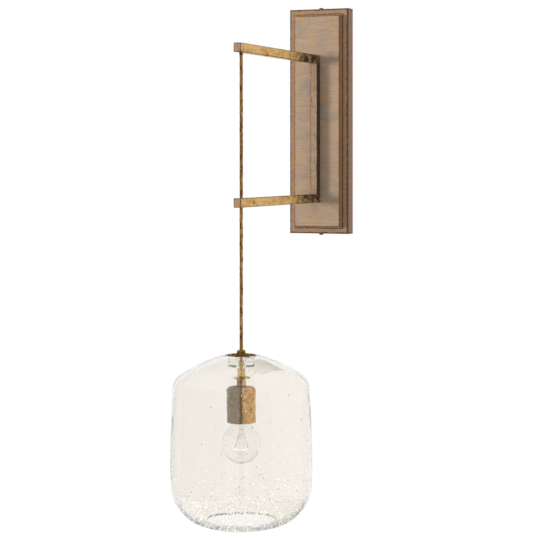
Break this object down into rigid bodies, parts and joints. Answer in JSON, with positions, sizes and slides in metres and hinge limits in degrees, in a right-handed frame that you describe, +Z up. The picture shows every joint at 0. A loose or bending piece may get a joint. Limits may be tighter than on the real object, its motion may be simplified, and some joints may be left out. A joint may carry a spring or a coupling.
{
  "type": "hanging pendant wall sconce",
  "caption": "Wall light: a tall backplate carries a bracket with two arms, from which a rod hangs a seeded glass jar shade open below, with a clear lamp in a metal cup.",
  "frame": {"origin": "centre of the backplate's back, on the wall", "axes": "+Z up, -Y out of the wall into the room, X along the wall"},
  "size_m": [0.2158, 0.4679, 0.8143],
  "materials": {
    "stained_wood": "antiqued, matt",
    "zinc_steel": "zinc plated",
    "gilded_bar": "antique gold leaf over dark brown",
    "dark_bronze": "forged, dark bronze with gold rub",
    "brass": "aged brass",
    "seeded_glass": "clear, with seeds",
    "lamp_glass": "clear",
    "porcelain": "glazed porcelain",
    "rubber": "matt",
    "lead_sleeve": "satin, gold coloured insulation",
    "connector_plastic": "satin",
    "earth_green": "satin",
    "nickel": "nickel plated",
    "black_glass": "vitreous black",
    "solder": "dull",
    "lamp_wire": "drawn wire",
    "filament": "coiled tungsten"
  },
  "bodies": {
    "fixture": {"backplate": "stained_wood", "raised_panel": "stained_wood", "wall_bracket": "zinc_steel", "plate_screws": "dark_bronze", "backing_strip": "zinc_steel", "upright_washers": "zinc_steel", "upright_screws": "zinc_steel", "upright_inserts": "zinc_steel", "upright": "gilded_bar", "upper_arm": "gilded_bar", "lower_arm": "gilded_bar", "upper_arm_end": "gilded_bar", "lower_arm_end": "gilded_bar", "rod": "dark_bronze", "rod_ferrule": "dark_bronze", "rod_hanger_nut": "zinc_steel", "rod_guides": "dark_bronze", "collar_nut": "dark_bronze", "nipple": "zinc_steel", "shade_cap": "dark_bronze", "cap_gasket": "rubber", "glass_shade": "seeded_glass", "boss_gasket": "rubber", "neck_coupling": "dark_bronze", "disc_washer": "dark_bronze", "cup_collar": "brass", "socket_cup": "brass", "socket_yoke": "zinc_steel", "yoke_nut": "zinc_steel", "yoke_screws": "zinc_steel", "socket_body": "porcelain", "terminal_screws": "brass", "screw_shell": "nickel", "centre_contact": "brass", "leads": "lead_sleeve", "lead_grommet": "rubber", "wire_connectors": "connector_plastic", "earth_screws": "earth_green", "earth_lead": "earth_green"},
    "lamp": {"bulb_glass": "lamp_glass", "bulb_cap": "nickel", "bulb_insulator": "black_glass", "bulb_tip": "solder", "bulb_stem": "lamp_glass", "bulb_wires": "lamp_wire", "bulb_filament": "filament"}
  },
  "joints": [
    {"name": "lamp_turn", "type": "hinge", "parent": "fixture", "child": "lamp", "pos_m": [0, -0.36, -0.4965], "axis": [0, 0, -1], "range_deg": [0, 1890]}
  ]
}
